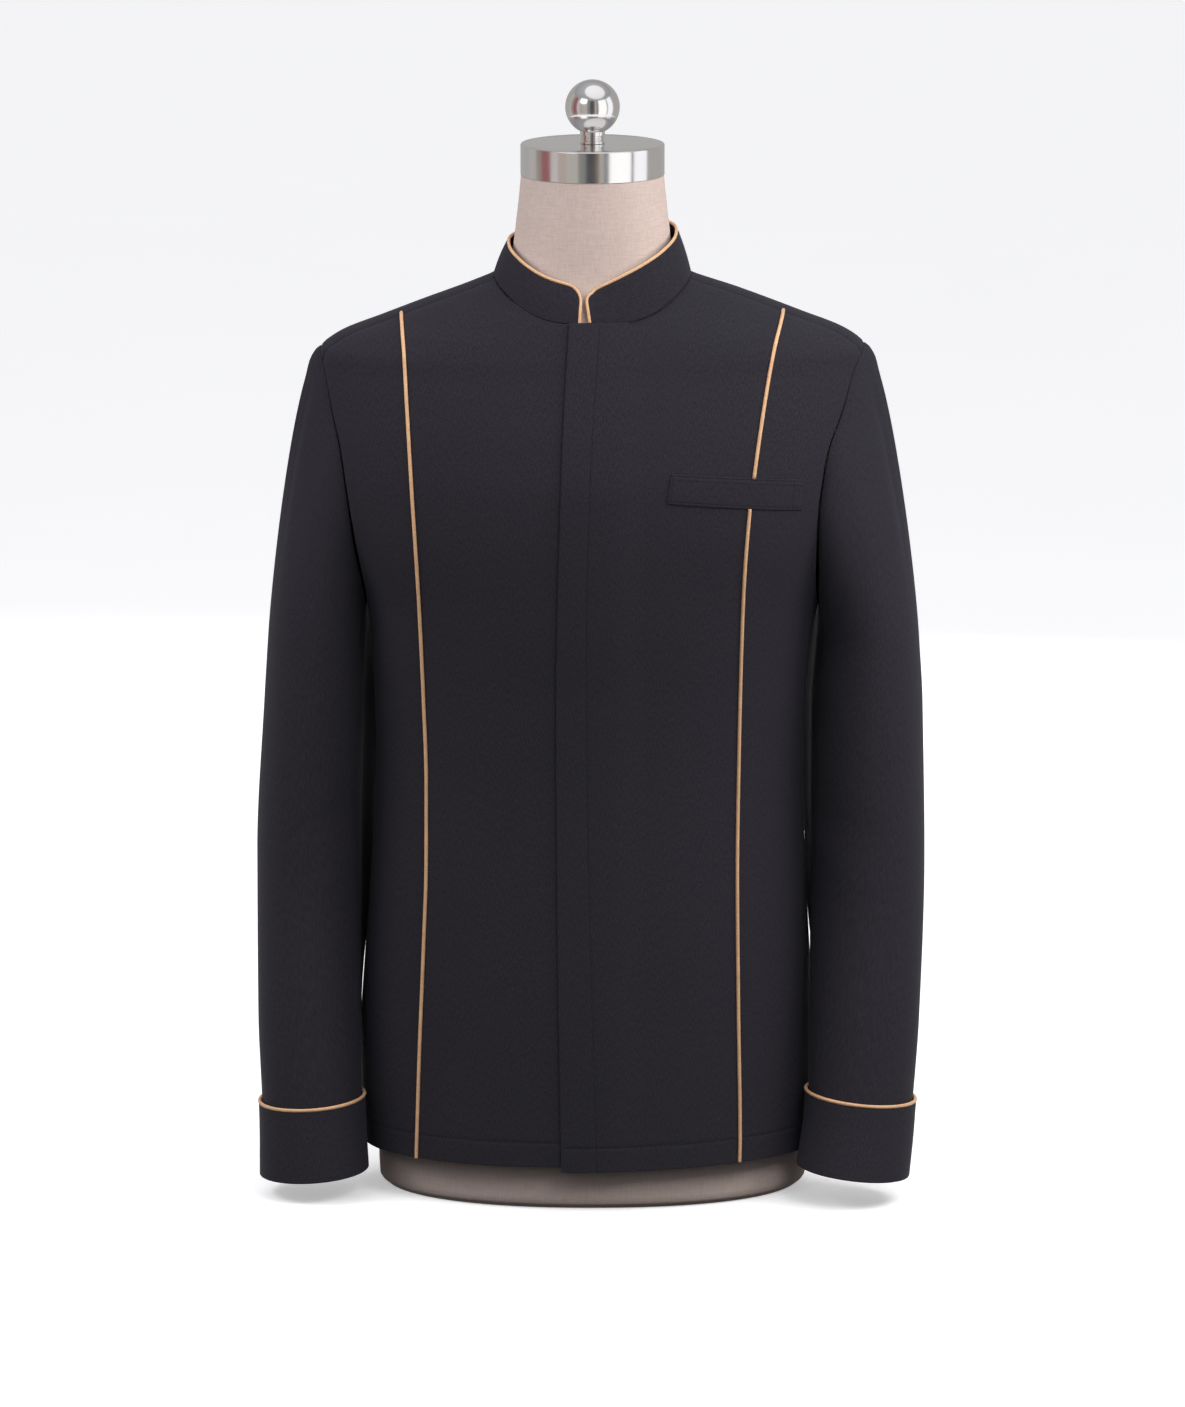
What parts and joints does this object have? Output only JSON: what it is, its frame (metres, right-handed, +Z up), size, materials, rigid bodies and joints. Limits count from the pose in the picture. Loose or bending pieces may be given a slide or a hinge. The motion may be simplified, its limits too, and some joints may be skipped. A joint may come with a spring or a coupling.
{
  "type": "stand-collar jacket on a limbless dress form",
  "caption": "Piped stand-collar jacket with a concealed front, welt chest pocket and turn-back cuffs, worn by a limbless dress form with a chrome neck cap and ball finial.",
  "frame": {"origin": "centre of the dress form's flat base, on the surface it stands on", "axes": "+Z up, -Y towards the front of the jacket, +X towards the wearer's left"},
  "size_m": [0.5526, 0.2601, 0.9194],
  "materials": {
    "suit_cloth": "charcoal fine twill, matt",
    "piping_satin": "golden tan satin",
    "form_linen": "beige-pink plain linen",
    "chrome": "polished"
  },
  "bodies": {
    "root": {"back": "suit_cloth", "front_left_centre": "suit_cloth", "front_left_side": "suit_cloth", "front_right_centre": "suit_cloth", "front_right_side": "suit_cloth", "collar": "suit_cloth", "chest_welt": "suit_cloth", "sleeve_left_top": "suit_cloth", "sleeve_left_under": "suit_cloth", "sleeve_right_top": "suit_cloth", "sleeve_right_under": "suit_cloth", "cuff_left": "suit_cloth", "cuff_right": "suit_cloth", "piping_collar": "piping_satin", "piping_front_left_lower": "piping_satin", "piping_front_left_upper": "piping_satin", "piping_front_right": "piping_satin", "piping_cuff_left": "piping_satin", "piping_cuff_right": "piping_satin", "form_torso": "form_linen", "form_neck_cap": "chrome", "form_finial": "chrome"}
  },
  "joints": []
}
